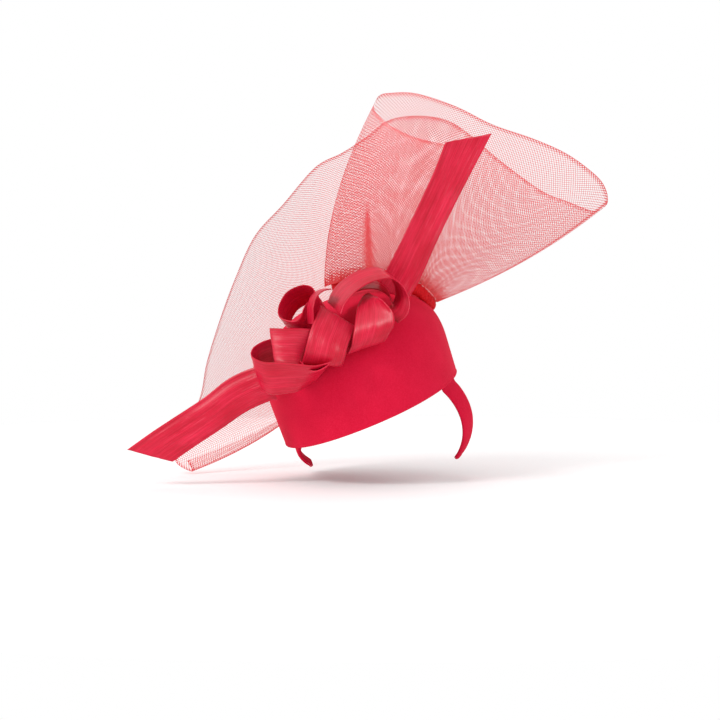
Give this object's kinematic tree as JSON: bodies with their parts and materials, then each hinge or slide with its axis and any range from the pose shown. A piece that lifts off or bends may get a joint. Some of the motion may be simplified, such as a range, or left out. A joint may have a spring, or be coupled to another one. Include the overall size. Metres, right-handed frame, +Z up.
{
  "type": "fascinator headpiece",
  "caption": "Tilted oval felt crown on a felt-covered headband, trimmed with a tall sweep of see-through crin, a knot of ribbon loops and ribbon tails.",
  "frame": {"origin": "the middle of the head that wears it, level with the ears", "axes": "the wearer looks along -Y, their left side is +X and +Z is up"},
  "size_m": [0.4039, 0.2404, 0.3408],
  "materials": {
    "wool_felt": "matte brushed wool felt",
    "silk_abaca_ribbon": "satin, lengthwise slubs",
    "crin": "open bias-woven horsehair braid",
    "lining": "plain weave",
    "spring_steel": "drawn",
    "thread": "waxed thread"
  },
  "bodies": {
    "crown_and_trim": {"felt_crown": "wool_felt", "trim_pad": "wool_felt", "band_outer_felt": "wool_felt", "band_inner_felt": "wool_felt", "edge_binding": "silk_abaca_ribbon", "low_loop": "silk_abaca_ribbon", "side_loop": "silk_abaca_ribbon", "front_loop": "silk_abaca_ribbon", "hollow_loop": "silk_abaca_ribbon", "narrow_loop": "silk_abaca_ribbon", "arch_loop": "silk_abaca_ribbon", "inner_loop": "silk_abaca_ribbon", "back_loop": "silk_abaca_ribbon", "upper_tail": "silk_abaca_ribbon", "lower_tail": "silk_abaca_ribbon", "crin_tail": "crin", "crin_sweep": "crin", "crin_front": "crin", "crin_fold": "crin", "crin_gather": "crin", "crown_lining": "lining", "edge_wire": "spring_steel", "band_core": "spring_steel", "left_band_tack": "thread", "right_band_tack": "thread"},
    "left_leg": {"left_leg_outer_felt": "wool_felt", "left_leg_inner_felt": "wool_felt", "left_leg_core": "spring_steel"},
    "right_leg": {"right_leg_outer_felt": "wool_felt", "right_leg_inner_felt": "wool_felt", "right_leg_core": "spring_steel"}
  },
  "joints": [
    {"name": "left_leg_flex", "type": "hinge", "parent": "crown_and_trim", "child": "left_leg", "pos_m": [0.0648, -0.0023, 0.0572], "axis": [0, -0.9061, -0.423], "range_deg": [0, 8], "stiffness_Nm_per_rad": 1},
    {"name": "right_leg_flex", "type": "hinge", "parent": "crown_and_trim", "child": "right_leg", "pos_m": [-0.0731, 0.0214, 0.0064], "axis": [0, 0.9061, 0.423], "range_deg": [0, 10], "stiffness_Nm_per_rad": 1}
  ]
}
